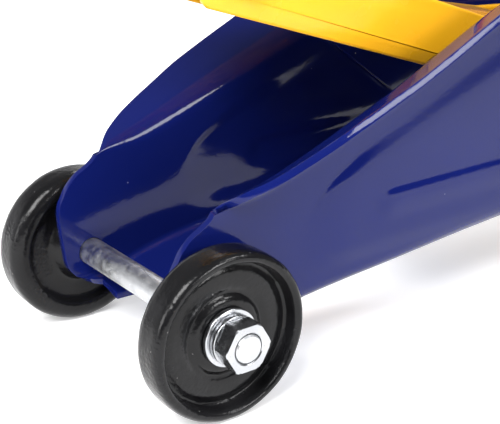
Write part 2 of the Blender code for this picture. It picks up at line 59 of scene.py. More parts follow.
mm = 0.001
axleLow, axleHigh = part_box("front_axle")
axle = (axleLow + axleHigh) / 2
sides = ((-1, "left"), (1, "right"))
slotOf = {part["node"]: part["material_slot"] for part in frame["record"]["subparts"]}
bodyOf = {node: body for body, nodes in frame["record"]["behaviour"]["bodies"].items() for node in nodes}
jointAt = {joint["name"]: Vector(joint["pos_m"]) for joint in frame["joints"] if "pos_m" in joint}


def at(x, y, z):
    return axle + Vector((x, y, z)) * mm


def middle(node):
    low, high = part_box(node)
    return ((low + high) / 2 - axle) / mm  # the node's middle, in millimetres from the axle


def smoothLine(points, x):
    # a smooth curve through (x, value) points
    if x <= points[0][0]:
        return points[0][1]
    if x >= points[-1][0]:
        return points[-1][1]
    k = next(i for i in range(len(points) - 1) if x <= points[i + 1][0])

    def slope(i):
        a, b = points[max(i - 1, 0)], points[min(i + 1, len(points) - 1)]
        return (b[1] - a[1]) / (b[0] - a[0])

    (x0, v0), (x1, v1) = points[k], points[k + 1]
    wide = x1 - x0
    t = (x - x0) / wide
    bend = (2 * t**3 - 3 * t * t + 1) * v0 + (3 * t * t - 2 * t**3) * v1
    return bend + (t**3 - 2 * t * t + t) * wide * slope(k) + (t**3 - t * t) * wide * slope(k + 1)


def ease(low, high, value):
    t = min(1.0, max(0.0, (value - low) / (high - low)))
    return t * t * (3 - 2 * t)


# Finishes: three shared effects, then one material for each slot.

def newGroup(name, inputs, output):
    tree = bpy.data.node_groups.new(name, "ShaderNodeTree")
    tree.interface.new_socket("Vector", in_out="INPUT", socket_type="NodeSocketVector")
    for label, value in inputs.items():
        socket = tree.interface.new_socket(label, in_out="INPUT", socket_type="NodeSocketFloat")
        socket.default_value = value
    tree.interface.new_socket(output, in_out="OUTPUT", socket_type="NodeSocketFloat")
    return tree, tree.nodes.new("NodeGroupInput"), tree.nodes.new("NodeGroupOutput")


def mathNode(tree, operation, first, second):
    node = tree.nodes.new("ShaderNodeMath")
    node.operation = operation
    for socket, value in zip(node.inputs, (first, second)):
        if isinstance(value, (int, float)):
            socket.default_value = value
        else:
            tree.links.new(value, socket)
    return node.outputs[0]


def rangeNode(tree, value, fromLow, fromHigh, toLow, toHigh):
    node = tree.nodes.new("ShaderNodeMapRange")
    for socket, source in zip(node.inputs, (value, fromLow, fromHigh, toLow, toHigh)):
        if isinstance(source, (int, float)):
            socket.default_value = source
        else:
            tree.links.new(source, socket)
    return node.outputs[0]


def makeDrift():
    # a slow wander between two values, for gloss and tone
    tree, given, result = newGroup("drift", {"Scale": 20.0, "Low": 0.0, "High": 1.0}, "Value")
    cloud = tree.nodes.new("ShaderNodeTexNoise")
    cloud.inputs["Detail"].default_value = 4
    tree.links.new(given.outputs["Vector"], cloud.inputs["Vector"])
    tree.links.new(given.outputs["Scale"], cloud.inputs["Scale"])
    spread = rangeNode(tree, cloud.outputs["Fac"], 0.3, 0.7, given.outputs["Low"], given.outputs["High"])
    tree.links.new(spread, result.inputs["Value"])
    return tree


def makeSpecks():
    # scattered dots: Share of the cells hold one, of a radius given in cells
    tree, given, result = newGroup("specks", {"Scale": 300.0, "Share": 0.1, "Radius": 0.2}, "Mask")
    cells = tree.nodes.new("ShaderNodeTexVoronoi")
    tree.links.new(given.outputs["Vector"], cells.inputs["Vector"])
    tree.links.new(given.outputs["Scale"], cells.inputs["Scale"])
    split = tree.nodes.new("ShaderNodeSeparateColor")
    tree.links.new(cells.outputs["Color"], split.inputs["Color"])
    chosen = mathNode(tree, "LESS_THAN", split.outputs["Red"], given.outputs["Share"])
    dot = rangeNode(tree, cells.outputs["Distance"], 0.0, given.outputs["Radius"], 1.0, 0.0)
    tree.links.new(mathNode(tree, "MULTIPLY", chosen, dot), result.inputs["Mask"])
    return tree


def makePeel():
    # fine waves of a sprayed or cast skin
    tree, given, result = newGroup("peel", {"Scale": 400.0, "Detail": 2.0}, "Height")
    cloud = tree.nodes.new("ShaderNodeTexNoise")
    for label in ("Vector", "Scale", "Detail"):
        tree.links.new(given.outputs[label], cloud.inputs[label])
    tree.links.new(cloud.outputs["Fac"], result.inputs["Height"])
    return tree


groups = {"drift": makeDrift(), "specks": makeSpecks(), "peel": makePeel()}

finishes = {
    "blue_paint": {"base": (0.0045, 0.0095, 0.1), "shade": (0.0035, 0.0075, 0.084), "roughness": (0.06, 0.1),
                   "metallic": 0.0, "mirror": 0.27, "drift": 14, "peel": 500, "detail": 1, "height": 0.00003,
                   "dust": (0.5, 0.52, 0.62), "dustScale": 170, "dustShare": 0.035, "dustRadius": 0.075},
    "yellow_paint": {"base": (0.92, 0.46, 0.012), "shade": (0.86, 0.41, 0.01), "roughness": (0.2, 0.3),
                     "metallic": 0.0, "mirror": 0.4, "drift": 16, "peel": 420, "detail": 1, "height": 0.00004,
                     "dust": (0.5, 0.32, 0.08), "dustScale": 200, "dustShare": 0.03, "dustRadius": 0.07},
    "black_iron": {"base": (0.004, 0.004, 0.0045), "shade": (0.008, 0.008, 0.009), "roughness": (0.12, 0.26),
                   "metallic": 0.0, "mirror": 0.24, "drift": 60, "peel": 520, "detail": 4, "height": 0.00032,
                   "patchy": 0.85, "pits": 0.9,
                   "dust": (0.42, 0.41, 0.4), "dustScale": 420, "dustShare": 0.05, "dustRadius": 0.16},
    "zinc_plate": {"base": (0.54, 0.55, 0.57), "shade": (0.46, 0.47, 0.49), "roughness": (0.2, 0.3),
                   "metallic": 1.0, "drift": 90, "peel": 700, "detail": 2, "height": 0.000015,
                   "dust": (0.3, 0.3, 0.3), "dustScale": 700, "dustShare": 0.12, "dustRadius": 0.25},
    "worn_zinc": {"base": (0.64, 0.65, 0.66), "shade": (0.5, 0.51, 0.53), "roughness": (0.3, 0.5),
                  "metallic": 1.0, "drift": 130, "peel": 900, "detail": 4, "height": 0.00012, "patchy": 0.6,
                  "dust": (0.95, 0.95, 0.95), "dustScale": 800, "dustShare": 0.16, "dustRadius": 0.22},
    "dark_steel": {"base": (0.16, 0.16, 0.17), "shade": (0.1, 0.1, 0.11), "roughness": (0.28, 0.45),
                   "metallic": 1.0, "drift": 60, "peel": 600, "detail": 3, "height": 0.00008,
                   "dust": (0.3, 0.25, 0.2), "dustScale": 400, "dustShare": 0.05, "dustRadius": 0.15},
    "spring_steel": {"base": (0.33, 0.34, 0.36), "shade": (0.22, 0.23, 0.25), "roughness": (0.2, 0.34),
                     "metallic": 1.0, "drift": 200, "peel": 900, "detail": 2, "height": 0.00003,
                     "dust": (0.15, 0.14, 0.13), "dustScale": 600, "dustShare": 0.06, "dustRadius": 0.2},
    "black_rubber": {"base": (0.017, 0.017, 0.018), "shade": (0.026, 0.026, 0.027), "roughness": (0.55, 0.72),
                     "metallic": 0.0, "drift": 40, "peel": 1100, "detail": 5, "height": 0.00012,
                     "dust": (0.2, 0.2, 0.2), "dustScale": 500, "dustShare": 0.05, "dustRadius": 0.12},
}


def placeGroup(tree, name, vector, values):
    node = tree.nodes.new("ShaderNodeGroup")
    node.node_tree = groups[name]
    tree.links.new(vector, node.inputs["Vector"])
    for label, value in values.items():
        node.inputs[label].default_value = value
    return node.outputs[0]


def makeFinish(name, look):
    mat = bpy.data.materials.new(name)
    mat.use_nodes = True
    tree = mat.node_tree
    shader = tree.nodes["Principled BSDF"]
    shader.inputs["Metallic"].default_value = look["metallic"]
    shader.inputs["Specular IOR Level"].default_value = look.get("mirror", 0.5)
    where = tree.nodes.new("ShaderNodeTexCoord").outputs["Object"]
    tone = placeGroup(tree, "drift", where, {"Scale": look["drift"], "Low": 0.0, "High": 1.0})
    mix = tree.nodes.new("ShaderNodeMix")
    mix.data_type = "RGBA"
    mix.inputs["A"].default_value = (*look["base"], 1)
    mix.inputs["B"].default_value = (*look["shade"], 1)
    tree.links.new(tone, mix.inputs["Factor"])
    dots = placeGroup(tree, "specks", where, {"Scale": look["dustScale"], "Share": look["dustShare"],
                                              "Radius": look["dustRadius"]})
    dusty = tree.nodes.new("ShaderNodeMix")
    dusty.data_type = "RGBA"
    dusty.inputs["B"].default_value = (*look["dust"], 1)
    tree.links.new(dots, dusty.inputs["Factor"])
    tree.links.new(mix.outputs["Result"], dusty.inputs["A"])
    tree.links.new(dusty.outputs["Result"], shader.inputs["Base Color"])
    low, high = look["roughness"]
    gloss = placeGroup(tree, "drift", where, {"Scale": look["drift"] * 2.3, "Low": low, "High": high})
    tree.links.new(gloss, shader.inputs["Roughness"])
    skin = placeGroup(tree, "peel", where, {"Scale": look["peel"], "Detail": look["detail"]})
    patchy = look.get("patchy", 0.0)
    skin = mathNode(tree, "MULTIPLY", skin, rangeNode(tree, tone, 0.0, 1.0, 1 - patchy, 1.0))
    if look.get("pits"):
        skin = mathNode(tree, "ADD", skin, mathNode(tree, "MULTIPLY", dots, look["pits"]))
    bump = tree.nodes.new("ShaderNodeBump")
    bump.inputs["Distance"].default_value = look["height"]
    tree.links.new(skin, bump.inputs["Height"])
    tree.links.new(bump.outputs["Normal"], shader.inputs["Normal"])
    return mat


materials = {name: makeFinish(name, look) for name, look in finishes.items()}
for node, slot in slotOf.items():
    mesh = frame["nodes"][node].data
    mesh.materials.clear()
    mesh.materials.append(materials[slot])
print("finishes made")


# Making pieces.

def baked(obj):
    # the object's modifiers become its plain mesh
    bpy.context.view_layer.update()
    graph = bpy.context.evaluated_depsgraph_get()
    mesh = bpy.data.meshes.new_from_object(obj.evaluated_get(graph))
    obj.modifiers.clear()
    obj.data = mesh


def newObject(name, bm, mat):
    mesh = bpy.data.meshes.new(name)
    bm.to_mesh(mesh)
    bm.free()
    if mat:
        mesh.materials.append(mat)
    obj = bpy.data.objects.new(name, mesh)
    bpy.context.collection.objects.link(obj)
    return obj


def toWorld(bm):
    bmesh.ops.scale(bm, vec=(mm, mm, mm), verts=bm.verts)
    bmesh.ops.translate(bm, vec=axle, verts=bm.verts)
    return bm


def attach(obj, node, replaced=True, sharp=38, rides=True):
    obj.data.shade_smooth()
    obj.data.set_sharp_from_angle(angle=math.radians(sharp))
    if rides:
        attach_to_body(obj, bodyOf[node])
    if replaced:
        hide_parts(node)
    return obj


def shaped(node, bm, name=None, replaced=True, sharp=38):
    # a finished piece in place of a node; the mesh comes in millimetres from the axle
    bmesh.ops.remove_doubles(bm, verts=bm.verts, dist=1e-4)
    bmesh.ops.recalc_face_normals(bm, faces=bm.faces)
    obj = newObject(name or node + "_shape", toWorld(bm), materials[slotOf[node]])
    return attach(obj, node, replaced, sharp)


def rounded(profile, radius, steps=3):
    # the same (radius, height) profile with its corners rounded
    out = []
    for i, point in enumerate(profile):
        here = Vector(point)
        if i in (0, len(profile) - 1):
            out.append(point)
            continue
        before, after = Vector(profile[i - 1]), Vector(profile[i + 1])
        back, ahead = before - here, after - here
        reach = min(radius, 0.45 * back.length, 0.45 * ahead.length)
        start, end = here + back.normalized() * reach, here + ahead.normalized() * reach
        for k in range(steps + 1):
            t = k / steps
            mid = start * (1 - t) ** 2 + here * 2 * t * (1 - t) + end * t * t
            out.append((mid.x, mid.y))
    return out


def lathe(profile, segments=64, axis="Y", centre=(0, 0, 0), flats=0.0):
    # turns a profile; flats is a hexagon's width, kept to wherever the profile is wider than it
    bm = bmesh.new()
    closed = profile[0][0] > 0
    rings = []
    for radius, height in profile:
        if radius <= 0:
            rings.append([bm.verts.new((0, 0, height))] * segments)
            continue
        ring = []
        for i in range(segments):
            angle = math.tau * i / segments
            reach = radius
            if flats:
                reach = min(radius, flats / 2 / math.cos(angle % (math.pi / 3) - math.pi / 6))
            ring.append(bm.verts.new((reach * math.cos(angle), reach * math.sin(angle), height)))
        rings.append(ring)
    for low, high in list(zip(rings, rings[1:])) + ([(rings[-1], rings[0])] if closed else []):
        for i in range(segments):
            j = (i + 1) % segments
            corners = [low[i], low[j], high[j], high[i]]
            distinct = [v for k, v in enumerate(corners) if v not in corners[:k]]
            if len(distinct) > 2:
                bm.faces.new(distinct)
    turn = {"Z": Matrix.Identity(3), "Y": Matrix.Rotation(math.radians(-90), 3, "X"),
            "X": Matrix.Rotation(math.radians(90), 3, "Y")}[axis]
    bmesh.ops.rotate(bm, matrix=turn, verts=bm.verts)
    bmesh.ops.translate(bm, vec=centre, verts=bm.verts)
    return bm


def flipped(bm, side):
    bmesh.ops.scale(bm, vec=(1, side, 1), verts=bm.verts)
    return bm


def softened(node, width, segments=2, corner=28):
    # a CAD body with its edges rounded
    bm = bmesh.new()
    bm.from_mesh(frame["nodes"][node].data)
    bmesh.ops.remove_doubles(bm, verts=bm.verts, dist=2e-6)
    bmesh.ops.dissolve_limit(bm, angle_limit=math.radians(1.5), verts=bm.verts, edges=bm.edges)
    obj = newObject(node + "_shape", bm, materials[slotOf[node]])
    bevel = obj.modifiers.new("edges", "BEVEL")
    bevel.width = width * mm
    bevel.segments = segments
    bevel.limit_method = "ANGLE"
    bevel.angle_limit = math.radians(corner)
    bevel.miter_outer = "MITER_ARC"
    baked(obj)
    return attach(obj, node, sharp=50)


# Repeats: one tree for ribs and threads, one for coils.

def socketId(tree, label):
    return next(item.identifier for item in tree.interface.items_tree if item.name == label)


def makeRepeatTree():
    tree = bpy.data.node_groups.new("repeat", "GeometryNodeTree")
    wanted = (("Geometry", "Geometry"), ("Count", "Int"), ("Start", "Vector"), ("Step", "Vector"),
              ("Turn", "Vector"), ("Shape", "Object"), ("Finish", "Material"))
    for label, kind in wanted:
        tree.interface.new_socket(label, in_out="INPUT", socket_type="NodeSocket" + kind)
    tree.interface.new_socket("Geometry", in_out="OUTPUT", socket_type="NodeSocketGeometry")
    given, result = tree.nodes.new("NodeGroupInput"), tree.nodes.new("NodeGroupOutput")
    line = tree.nodes.new("GeometryNodeMeshLine")
    info = tree.nodes.new("GeometryNodeObjectInfo")
    index = tree.nodes.new("GeometryNodeInputIndex")
    turn = tree.nodes.new("ShaderNodeVectorMath")
    turn.operation = "MULTIPLY"
    spread = tree.nodes.new("GeometryNodeInstanceOnPoints")
    solid = tree.nodes.new("GeometryNodeRealizeInstances")
    paint = tree.nodes.new("GeometryNodeSetMaterial")
    link = tree.links.new
    link(given.outputs["Count"], line.inputs["Count"])
    link(given.outputs["Start"], line.inputs["Start Location"])
    link(given.outputs["Step"], line.inputs["Offset"])
    link(given.outputs["Shape"], info.inputs["Object"])
    link(given.outputs["Turn"], turn.inputs[0])
    link(index.outputs[0], turn.inputs[1])
    link(line.outputs["Mesh"], spread.inputs["Points"])
    link(info.outputs["Geometry"], spread.inputs["Instance"])
    link(turn.outputs["Vector"], spread.inputs["Rotation"])
    link(spread.outputs["Instances"], solid.inputs["Geometry"])
    link(solid.outputs["Geometry"], paint.inputs["Geometry"])
    link(given.outputs["Finish"], paint.inputs["Material"])
    link(paint.outputs["Geometry"], result.inputs["Geometry"])
    return tree


def makeCoilTree():
    tree = bpy.data.node_groups.new("coil", "GeometryNodeTree")
    wanted = (("Geometry", "Geometry"), ("Turns", "Float"), ("Radius", "Float"), ("Length", "Float"),
              ("Wire", "Float"), ("Finish", "Material"))
    for label, kind in wanted:
        tree.interface.new_socket(label, in_out="INPUT", socket_type="NodeSocket" + kind)
    tree.interface.new_socket("Geometry", in_out="OUTPUT", socket_type="NodeSocketGeometry")
    given, result = tree.nodes.new("NodeGroupInput"), tree.nodes.new("NodeGroupOutput")
    coil = tree.nodes.new("GeometryNodeCurveSpiral")
    coil.inputs["Resolution"].default_value = 28
    wire = tree.nodes.new("GeometryNodeCurvePrimitiveCircle")
    wire.inputs["Resolution"].default_value = 12
    sweep = tree.nodes.new("GeometryNodeCurveToMesh")
    sweep.inputs["Fill Caps"].default_value = True
    solid = tree.nodes.new("GeometryNodeRealizeInstances")
    paint = tree.nodes.new("GeometryNodeSetMaterial")
    link = tree.links.new
    link(given.outputs["Turns"], coil.inputs["Rotations"])
    link(given.outputs["Radius"], coil.inputs["Start Radius"])
    link(given.outputs["Radius"], coil.inputs["End Radius"])
    link(given.outputs["Length"], coil.inputs["Height"])
    link(given.outputs["Wire"], wire.inputs["Radius"])
    link(coil.outputs["Curve"], sweep.inputs["Curve"])
    link(wire.outputs["Curve"], sweep.inputs["Profile Curve"])
    link(sweep.outputs["Mesh"], solid.inputs["Geometry"])
    link(solid.outputs["Geometry"], paint.inputs["Geometry"])
    link(given.outputs["Finish"], paint.inputs["Material"])
    link(paint.outputs["Geometry"], result.inputs["Geometry"])
    return tree


repeatTree, coilTree = makeRepeatTree(), makeCoilTree()


def grown(name, tree, values, place=Matrix.Identity(4)):
    # runs a tree on an empty mesh and keeps the plain result; lengths are in metres
    obj = newObject(name, bmesh.new(), None)
    mod = obj.modifiers.new("grow", "NODES")
    mod.node_group = tree
    for label, value in values.items():
        mod[socketId(tree, label)] = value
    baked(obj)
    obj.data.transform(place)
    return obj


def repeated(name, bm, count, start, step, turn, node, place=Matrix.Identity(4)):
    # copies one small body, given in metres round its own origin
    seed = newObject(name + "_seed", bm, None)
    values = {"Count": count, "Start": start, "Step": step, "Turn": turn, "Shape": seed,
              "Finish": materials[slotOf[node]]}
    obj = grown(name, repeatTree, values, place)
    bpy.data.objects.remove(seed)
    return obj


print("tools ready")


# Side plates.

plate = {"inner": 43.0, "thick": 3.0, "bend": 3.0, "hollow": 17.0, "hollowDrop": 10.5, "lipRise": 26.0,
         "lipFlat": 14.4, "edge": 0.9, "stations": 170, "rows": 46,
         "panelDepth": 1.7, "beadDepth": 1.2, "lipSweep": 3.5}
topLine = [(-20, 44.2), (3, 44.4), (6, 45.8), (9, 46.9), (14, 48.1), (25, 50.6), (45, 57.6), (61, 64.1),
           (80, 71.9), (98, 79.6), (133, 96.4), (155, 105.8), (180, 114.2), (205, 118.6), (232, 120),
           (258, 119), (320, 107), (380, 95), (430, 90), (460, 88)]
bottomLine = [(-20, -13), (5, -13), (28, -6.5), (50, -2.3), (104, 2.1), (152, 5.8), (200, 8), (460, 9.2)]
lipScale = [(-20, 0.1), (4, 0.11), (6.5, 0.17), (9, 0.25), (13, 0.36), (25, 0.6), (45, 0.8), (61, 0.91),
            (98, 1), (180, 1.06), (300, 0.9), (446, 0.35)]
flangeWidth = [(-20, 19), (3, 20), (22, 28), (66, 27), (104, 16), (150, 15), (220, 11), (460, 11)]
noseLine = [(-13, 1), (-11.8, -5.2), (-10.2, -7.9), (-5.2, -11.8), (0.7, -13.1), (13, -14.6), (20.6, -15.1),
            (25, -14.4), (28, -12.8), (32, -10.6), (35, -8), (37.6, -5), (39.3, -1.8), (41, 1.1),
            (42.6, 3.2), (44.2, 4.8), (46, 6.1), (50, 8.6)]
tailLine = [(-10, 420), (5, 418), (40, 436), (80, 446), (95, 447)]
panelTop = [(50, 30), (58, 41), (70, 50.7), (84, 59), (105, 68.6), (122, 75.5), (139, 82.5), (160, 90),
            (190, 98), (215, 101)]
panelFoot = [(50, 26), (58, 37.5), (75, 44), (100, 51.2), (123, 59.3), (140, 66), (160, 73), (190, 82),
             (215, 86)]


def relief(x, z):
    # how far the sheet is pressed outwards: a wedge-shaped panel, and a bead inside it
    upper, lower = smoothLine(panelTop, x), smoothLine(panelFoot, x)
    front = 1 - ease(74, 46, x - max(0.0, z - 34) * 0.35)
    panel = (1 - ease(lower, upper, z)) * front * (1 - ease(208, 238, x)) * ease(4, 16, z)
    bead = ease(86, 96, x) * (1 - ease(196, 216, x)) * (1 - ease(31.3, 36.2, z)) * ease(20, 31, z)
    return plate["panelDepth"] * panel + plate["beadDepth"] * bead


def plateX(z, t):
    front, back = smoothLine(noseLine, z), smoothLine(tailLine, z)
    return front + (back - front) * t


def plateSection(t):
    inner, bend = plate["inner"], plate["bend"]
    points = []
    for k in range(5):  # the bottom flange, its front corner swept back
        share = k / 4
        x = (0.5 + 2.5 * share) * (1 - t) + plateX(-10, 1) * t
        points.append((x, inner - smoothLine(flangeWidth, x) * (1 - share) - bend * share,
                       smoothLine(bottomLine, x)))
    for k in (1, 2, 3):
        turn = math.pi / 2 * k / 4
        x = (3 - 11 * k / 4) * (1 - t) + plateX(-10, 1) * t
        points.append((x, inner - bend + bend * math.sin(turn),
                       smoothLine(bottomLine, x) + bend * (1 - math.cos(turn))))
    rows = plate["rows"]
    frontHigh = smoothLine(topLine, 4.8) - plate["hollowDrop"] * smoothLine(lipScale, 4.8)
    for k in range(rows + 1):
        share = k / rows
        x = plateX(-10 + (frontHigh + 10) * share, t)
        scale = smoothLine(lipScale, x)
        low = smoothLine(bottomLine, x) + bend
        z = low + (smoothLine(topLine, x) - plate["hollowDrop"] * scale - low) * share
        points.append((x, inner + relief(x, z), z))
    sweep = math.radians(90 - plate["lipRise"])
    turns = 8
    hollow, drop = plate["hollow"], plate["hollowDrop"]
    path = [(hollow * (1 - math.cos(sweep * k / turns)), hollow * math.sin(sweep * k / turns) - drop)
            for k in range(1, turns + 1)]
    out, up = path[-1]
    rise = math.radians(plate["lipRise"])
    flats = 5
    for k in range(1, flats + 1):
        along = plate["lipFlat"] * k / flats
        path.append((out + along * math.cos(rise), up + along * math.sin(rise)))
    crease = smoothLine(topLine, x)
    sweepBack = plate["lipSweep"] * (1 - t) ** 20 / len(path)  # the lip's front corner leans back
    points += [(x + sweepBack * (k + 1), inner + scale * dy, crease + scale * dz)
               for k, (dy, dz) in enumerate(path)]
    return points


def makeSidePlate(side, hand):
    count = plate["stations"]
    bm = bmesh.new()
    grid = [[bm.verts.new((x, side * y, z)) for x, y, z in plateSection((k / count) ** 1.25)]
            for k in range(count + 1)]
    for left, right in zip(grid, grid[1:]):
        for i in range(len(left) - 1):
            corners = [left[i], left[i + 1], right[i + 1], right[i]]
            bm.faces.new(corners if side > 0 else corners[::-1])
    node = "side_plate_" + hand
    obj = newObject(node + "_shape", toWorld(bm), materials["blue_paint"])
    sheet = obj.modifiers.new("sheet", "SOLIDIFY")
    sheet.thickness = plate["thick"] * mm
    sheet.offset = 1
    sheet.use_even_offset = True
    edges = obj.modifiers.new("edges", "BEVEL")
    edges.width = plate["edge"] * mm
    edges.segments = 3
    edges.limit_method = "ANGLE"
    edges.angle_limit = math.radians(55)
    baked(obj)
    holes = {"front_axle": 6.3, "arm_pivot_shaft": 10.3, "link_rod": 5.3, "handle_shaft": 6.3,
             "block_bolt_" + hand: 5.3}
    cutter = bmesh.new()
    for other, radius in holes.items():
        spot = middle(other)
        if other == "arm_pivot_shaft":
            spot = (jointAt["arm_lift"] - axle) / mm
        hole = lathe([(0, -60), (radius, -60), (radius, 60), (0, 60)], 40, "Y", (spot.x, 0, spot.z))
        scratch = bpy.data.meshes.new("hole")
        hole.to_mesh(scratch)
        hole.free()
        cutter.from_mesh(scratch)
        bpy.data.meshes.remove(scratch)
    guide = newObject("plate_holes", toWorld(cutter), None)
    cut = obj.modifiers.new("holes", "BOOLEAN")
    cut.object = guide
    cut.solver = "EXACT"
    baked(obj)
    bpy.data.objects.remove(guide)
    attach(obj, node, sharp=50)


for side, hand in sides:
    makeSidePlate(side, hand)
print("side plates made")


# Front wheels, axle, washers and nuts.

wheel = {"inner": 48.5, "outer": 65.0, "foot": 46.3, "hub": 60.5, "bore": 6.3, "grain": 1.6, "lump": 0.16,
         "lumpSize": 0.16, "segments": 176}
axleEnd = {"radius": 6.0, "thread": 5.85, "threadStart": 67.4, "threadPitch": 0.92, "threadTurns": 7,
           "flatWasher": (6.3, 12.0, 60.8, 63.0), "springWasher": (6.3, 10.3, 63.3, 66.0), "nutFlats": 18.4}


def lumpy(bm, depth, size, seed):
    bm.normal_update()
    moves = []
    for v in bm.verts:
        spot = Vector((v.co.x * size + seed, v.co.y * size, v.co.z * size))
        wave = noise.noise(spot) * 0.7 + noise.noise(spot * 2.7) * 0.3
        moves.append((v, v.normal * wave * depth))
    for v, move in moves:
        v.co += move
    return bm


for side, hand in sides:
    half = (wheel["outer"] - wheel["inner"]) / 2
    centre = wheel["inner"] + half
    boss, foot, bore = wheel["hub"] - centre, wheel["foot"] - centre, wheel["bore"]
    outline = [(bore, foot), (11, foot), (13.6, -half + 1), (16, -4.2), (25, -4.2), (27, -half),
               (31.5, -half), (34.2, -6.4), (35, -4.6), (35, 4.8), (34.5, 7), (33.2, half), (31.4, half),
               (30.4, half - 1), (29.6, 1.2), (28.2, 0.6), (27, 2.6), (18.4, 2.6), (17.6, 1.4),
               (16.6, 1.4), (15.6, boss - 0.5), (14.6, boss), (bore, boss)]
    fine = []
    for a, b in zip(outline, outline[1:]):
        steps = max(1, round((Vector(b) - Vector(a)).length / wheel["grain"]))
        fine += [tuple(Vector(a).lerp(Vector(b), k / steps)) for k in range(steps)]
    fine.append(outline[-1])
    soft = [outline[0]]
    for before, here, after in zip(fine, fine[1:], fine[2:]):
        soft.append(tuple((Vector(before) + Vector(here) * 2 + Vector(after)) / 4))
    soft.append(outline[-1])
    body = flipped(lathe(soft, wheel["segments"]), side)
    bmesh.ops.translate(body, vec=(0, side * centre, 0), verts=body.verts)
    bmesh.ops.recalc_face_normals(body, faces=body.faces)
    shaped("front_wheel_" + hand, lumpy(body, wheel["lump"], wheel["lumpSize"], 7.0 * side), sharp=60)

    for node, key, soften in (("axle_washer_", "flatWasher", 0.6), ("spring_washer_", "springWasher", 0.4)):
        inner, outer, near, far = axleEnd[key]
        ringProfile = rounded([(inner, near), (outer, near), (outer, far), (inner, far)], soften)
        shaped(node + hand, flipped(lathe(ringProfile, 72), side))
    nut = [(6.25, 66.3), (9.8, 66.3), (10.9, 67), (10.9, 73.4), (10.35, 73.9), (9.75, 74.25), (6.7, 74.25),
           (6.25, 73.9)]
    shaped("axle_nut_" + hand, flipped(lathe(nut, 96, flats=axleEnd["nutFlats"]), side), sharp=24)

end = (axleHigh.y - axle.y) / mm
bar, core = axleEnd["radius"], axleEnd["thread"]
rodHalf = [(bar, 0), (bar, 66), (core, 66.4), (core, end - 0.7), (5.3, end), (0, end)]
rodPiece = shaped("front_axle", lathe([(r, -y) for r, y in reversed(rodHalf)] + rodHalf, 72))
rodPiece.data.materials[0] = materials["worn_zinc"]
for side, hand in sides:
    ringShape = lathe([(5.8, -0.34), (6.05, 0), (5.8, 0.34), (5.6, 0)], 48)
    bmesh.ops.scale(ringShape, vec=(mm, mm, mm), verts=ringShape.verts)
    bmesh.ops.recalc_face_normals(ringShape, faces=ringShape.faces)
    first = at(0, side * axleEnd["threadStart"], 0)
    step = (0, side * axleEnd["threadPitch"] * mm, 0)
    obj = repeated("axle_thread_" + hand, ringShape, axleEnd["threadTurns"], first, step, (0, 0, 0),
                   "front_axle")
    attach(obj, "front_axle", replaced=False)
print("front end made")


# Pressings, castings and plates with rounded edges.

edgeSizes = {"pivot_doubler_left": 0.8, "pivot_doubler_right": 0.8, "cross_plate": 0.7, "top_cover": 0.7,
             "lift_arm": 1.3, "lever_plate_left": 0.7, "lever_plate_right": 0.7, "saddle_bracket": 1.0,
             "levelling_link": 1.0, "pump_block": 1.6, "handle_socket": 0.9, "caster_bracket_left": 0.8,
             "caster_bracket_right": 0.8, "caster_fork_left": 0.6, "caster_fork_right": 0.6}
for node, size in edgeSizes.items():
    softened(node, size, segments=3)
print("pressings and castings made")


# Turned pieces.

def rodProfile(radius, low, high, soften=0.8):
    return rounded([(0, low), (radius, low), (radius, high), (0, high)], soften)


def straightRod(node, radius, axis="Y", soften=0.8, name=None):
    # a plain rod as long as its node
    low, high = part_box(node)
    k = "XYZ".index(axis)
    ends = ((low - axle) / mm)[k], ((high - axle) / mm)[k]
    centre = middle(node)
    centre[k] = 0
    shaped(node, lathe(rodProfile(radius, *ends, soften), 48, axis, centre), name)


for node, radius in {"link_rod": 5, "spring_rod": 4, "link_pin": 4, "push_pin": 6, "saddle_pin": 6}.items():
    straightRod(node, radius)


def turnedPiece(node, profile, axis, centre, soften=0.8, segments=64, flats=0.0, side=1, sharp=32):
    bm = lathe(rounded(profile, soften), segments, axis, centre, flats)
    return shaped(node, flipped(bm, side) if side < 0 else bm, sharp=sharp)


pivot = (jointAt["arm_lift"] - axle) / mm
head = [(0, -57), (14.5, -57), (19, -55), (19, -46.3), (10, -46.3)]
turnedPiece("arm_pivot_shaft", head + [(10, 56.6), (8.6, 58), (0, 58)], "Y", pivot, 0.5, 96, flats=30)
turnedPiece("pivot_nut", [(10.3, 46.3), (17, 46.3), (19, 47.4), (19, 54.4), (15, 56), (10.3, 56)], "Y", pivot,
            0.4, 96, flats=30)
push = middle("push_pin")
turnedPiece("push_roller", [(6.3, -26.8), (10, -26.8), (10, 26.8), (6.3, 26.8)], "Y", (push.x, 0, push.z))
turnedPiece("arm_bush", [(10.3, -39.2), (14, -39.2), (14, 39.2), (10.3, 39.2)], "Y", pivot)
handle = middle("handle_shaft")
rivet = [(0, 50.5), (6.4, 50.2), (8.5, 48.6), (8.5, 46.3), (6, 46.3)]
turnedPiece("handle_shaft", [(r, -y) for r, y in rivet] + rivet[::-1], "Y", (handle.x, 0, handle.z))
